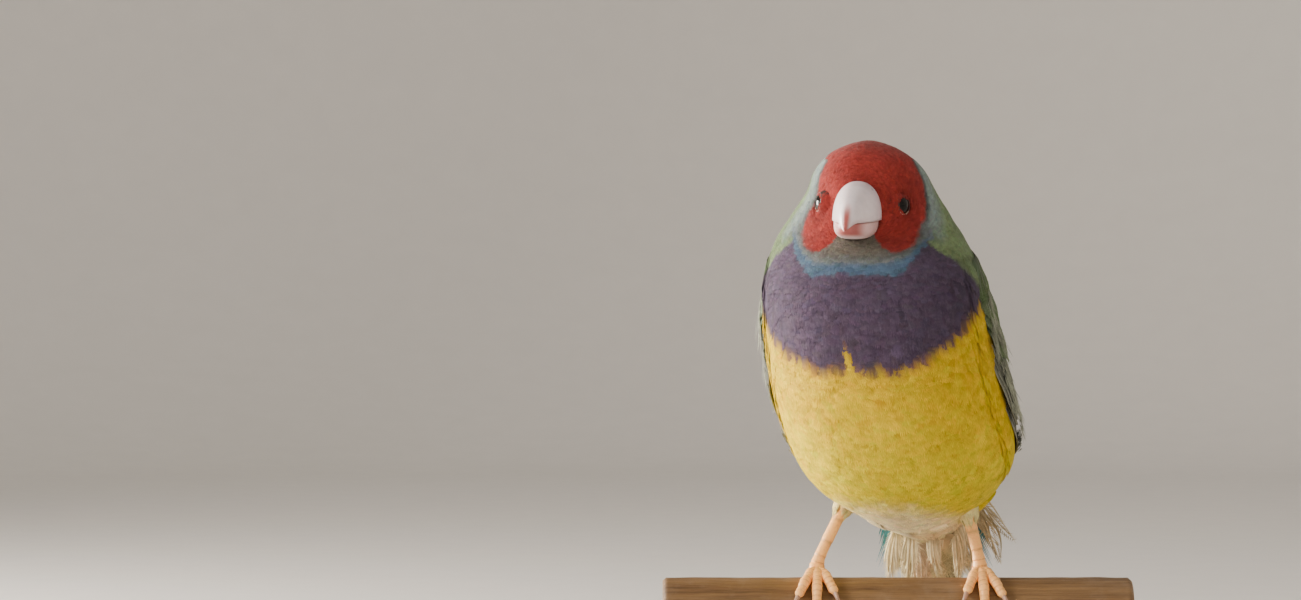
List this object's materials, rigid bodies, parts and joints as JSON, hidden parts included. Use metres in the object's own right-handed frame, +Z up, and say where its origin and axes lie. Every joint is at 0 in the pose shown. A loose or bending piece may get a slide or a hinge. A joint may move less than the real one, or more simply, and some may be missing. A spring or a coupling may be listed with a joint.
{
  "type": "gouldian finch",
  "caption": "Life-size male gouldian finch with a red head, perched on a cut length of round wooden dowel, on a plain display stand.",
  "frame": {"origin": "middle of the underside of the display base", "axes": "+Z up; the perch runs along X; the bird faces -Y, turned a little towards -X"},
  "size_m": [0.096, 0.084, 0.1307],
  "materials": {
    "red_plumage": "soft feathers, crimson",
    "turquoise_plumage": "soft feathers, turquoise",
    "yellow_plumage": "soft feathers, golden yellow under a purple breast",
    "green_plumage": "close-laid flight feathers, grass green",
    "black_plumage": "close-laid tail feathers, black",
    "pale_plumage": "soft down, cream",
    "ivory_horn": "smooth ivory horn",
    "dark_eye": "wet, very dark brown",
    "flesh_skin": "scaled flesh-pink skin",
    "pale_claw": "smooth pale horn",
    "perch_wood": "bare worn dowel",
    "stand_steel": "brushed",
    "stand_wood": "dark satin wood"
  },
  "bodies": {
    "root": {"head": "red_plumage", "neck": "turquoise_plumage", "torso": "yellow_plumage", "tail": "black_plumage", "wing_left": "green_plumage", "wing_right": "green_plumage", "thigh_left": "pale_plumage", "thigh_right": "pale_plumage", "bill_upper": "ivory_horn", "bill_lower": "ivory_horn", "eye_left": "dark_eye", "eye_right": "dark_eye", "tarsus_left": "flesh_skin", "tarsus_right": "flesh_skin", "foot_left": "flesh_skin", "foot_right": "flesh_skin", "claw_inner_left": "pale_claw", "claw_middle_left": "pale_claw", "claw_outer_left": "pale_claw", "claw_hind_left": "pale_claw", "claw_inner_right": "pale_claw", "claw_middle_right": "pale_claw", "claw_outer_right": "pale_claw", "claw_hind_right": "pale_claw", "perch": "perch_wood", "stand_rod_left": "stand_steel", "stand_rod_right": "stand_steel", "stand_base": "stand_wood"}
  },
  "joints": []
}
